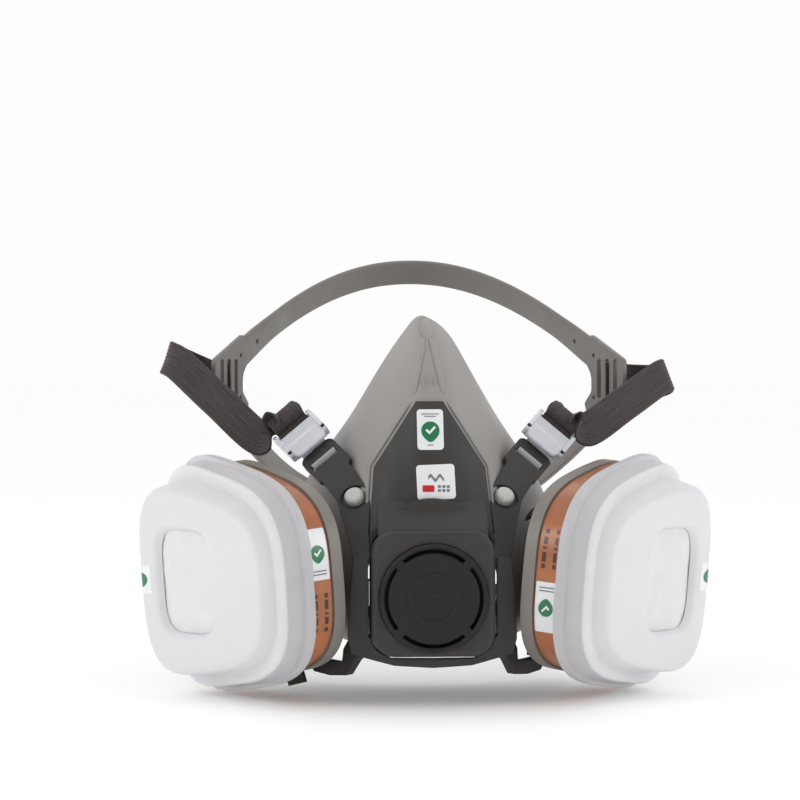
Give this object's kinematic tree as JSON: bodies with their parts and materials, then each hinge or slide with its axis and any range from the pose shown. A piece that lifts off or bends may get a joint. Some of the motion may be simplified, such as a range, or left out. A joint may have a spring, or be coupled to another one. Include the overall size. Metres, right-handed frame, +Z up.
{
  "type": "half-face respirator",
  "caption": "Half-face respirator with a soft facepiece, front exhalation valve, two side cartridges with push-on filter caps, a head cradle and neck straps.",
  "frame": {"origin": "centre of the face opening, on the plane of symmetry of the mask", "axes": "+Z up, +X to the right seen from the front, -Y out of the front of the mask, +Y towards the wearer's face"},
  "size_m": [0.2002, 0.1767, 0.1536],
  "materials": {
    "grey_elastomer": "soft matt elastomer",
    "dark_plastic": "fine-textured dark grey nylon",
    "black_plastic": "black moulded plastic",
    "stud_plastic": "light grey satin plastic",
    "black_rubber": "black rubber gasket",
    "pale_rubber": "thin pale yellow rubber",
    "cartridge_plastic": "light grey moulded plastic",
    "carbon": "black carbon granules",
    "filter_fleece": "white non-woven fleece",
    "brown_label": "glossy brown printed film",
    "frosted_plastic": "frosted clear plastic",
    "clear_plastic": "clear plastic",
    "webbing": "brown-grey elastic webbing",
    "cradle_plastic": "satin grey flexible plastic",
    "sticker": "white film sticker"
  },
  "bodies": {
    "mask": {"face_seal": "grey_elastomer", "front_shell": "dark_plastic", "yoke": "dark_plastic", "yoke_studs": "stud_plastic", "exhale_valve_seat": "dark_plastic", "upper_sticker": "sticker", "lower_sticker": "sticker", "left_port": "black_plastic", "left_port_gasket": "black_rubber", "right_port": "black_plastic", "right_port_gasket": "black_rubber"},
    "exhale_flap": {"exhale_valve_flap": "pale_rubber"},
    "valve_cover": {"exhale_valve_cover": "black_plastic"},
    "harness": {"head_cradle": "cradle_plastic", "left_upper_strap": "webbing", "right_upper_strap": "webbing"},
    "neck_left": {"left_neck_strap": "webbing", "neck_clasp_loop": "black_plastic"},
    "neck_right": {"right_neck_strap": "webbing", "neck_clasp_hook": "black_plastic"},
    "left_inhale_flap": {"left_inhale_flap": "pale_rubber"},
    "left_cartridge": {"left_cartridge_housing": "cartridge_plastic", "left_cartridge_socket": "cartridge_plastic", "left_carbon_bed": "carbon", "left_scrim": "filter_fleece", "left_cartridge_lid": "cartridge_plastic", "left_cartridge_label": "brown_label"},
    "left_retainer": {"left_retainer": "frosted_plastic", "left_filter_pad": "filter_fleece"},
    "left_buckle": {"left_upper_buckle": "clear_plastic"},
    "right_inhale_flap": {"right_inhale_flap": "pale_rubber"},
    "right_cartridge": {"right_cartridge_housing": "cartridge_plastic", "right_cartridge_socket": "cartridge_plastic", "right_carbon_bed": "carbon", "right_scrim": "filter_fleece", "right_cartridge_lid": "cartridge_plastic", "right_cartridge_label": "brown_label"},
    "right_retainer": {"right_retainer": "frosted_plastic", "right_filter_pad": "filter_fleece"},
    "right_buckle": {"right_upper_buckle": "clear_plastic"}
  },
  "joints": [
    {"name": "left_cartridge_twist", "type": "hinge", "parent": "mask", "child": "left_cartridge", "pos_m": [-0.046, -0.011, -0.023], "axis": [-0.8448, -0.5279, -0.0872], "range_deg": [0, 45]},
    {"name": "left_retainer_pull", "type": "slide", "parent": "left_cartridge", "child": "left_retainer", "axis": [-0.8448, -0.5279, -0.0872], "range_m": [0, 0.03]},
    {"name": "left_inhale_flap_lift", "type": "slide", "parent": "mask", "child": "left_inhale_flap", "axis": [0.8448, 0.5279, 0.0872], "range_m": [0, 0.0012], "stiffness_N_per_m": 20},
    {"name": "left_buckle_tilt", "type": "hinge", "parent": "mask", "child": "left_buckle", "pos_m": [-0.03716, -0.00514, 0.01613], "axis": [0.7616, 0.108, 0.639], "range_deg": [-8, 46]},
    {"name": "right_cartridge_twist", "type": "hinge", "parent": "mask", "child": "right_cartridge", "pos_m": [0.046, -0.011, -0.023], "axis": [0.8448, -0.5279, -0.0872], "range_deg": [0, 45]},
    {"name": "right_retainer_pull", "type": "slide", "parent": "right_cartridge", "child": "right_retainer", "axis": [0.8448, -0.5279, -0.0872], "range_m": [0, 0.03]},
    {"name": "right_inhale_flap_lift", "type": "slide", "parent": "mask", "child": "right_inhale_flap", "axis": [-0.8448, 0.5279, 0.0872], "range_m": [0, 0.0012], "stiffness_N_per_m": 20},
    {"name": "right_buckle_tilt", "type": "hinge", "parent": "mask", "child": "right_buckle", "pos_m": [0.03716, -0.00514, 0.01613], "axis": [-0.7616, 0.108, 0.639], "range_deg": [-46, 8]},
    {"name": "valve_cover_pull", "type": "slide", "parent": "mask", "child": "valve_cover", "axis": [0, -1, 0], "range_m": [0, 0.02]},
    {"name": "exhale_flap_lift", "type": "slide", "parent": "mask", "child": "exhale_flap", "axis": [0, -1, 0], "range_m": [0, 0.0012], "stiffness_N_per_m": 20},
    {"name": "harness_swing", "type": "hinge", "parent": "mask", "child": "harness", "pos_m": [0, -0.00514, 0.01613], "axis": [1, 0, 0], "range_deg": [-10, 60], "deforming": ["left_upper_strap", "right_upper_strap"]},
    {"name": "neck_strap_swing", "type": "hinge", "parent": "mask", "child": "neck_left", "pos_m": [0, -0.01158, -0.04703], "axis": [1, 0, 0], "range_deg": [-25, 8], "deforming": ["left_neck_strap"]},
    {"name": "neck_clasp_open", "type": "hinge", "parent": "neck_left", "child": "neck_right", "pos_m": [0, -0.01158, -0.04703], "axis": [1, 0, 0], "range_deg": [-15, 0], "deforming": ["right_neck_strap"]}
  ],
  "couplings": [
    {"joint": "left_buckle_tilt", "follows": "harness_swing", "ratio": 0.76},
    {"joint": "right_buckle_tilt", "follows": "harness_swing", "ratio": -0.76}
  ]
}
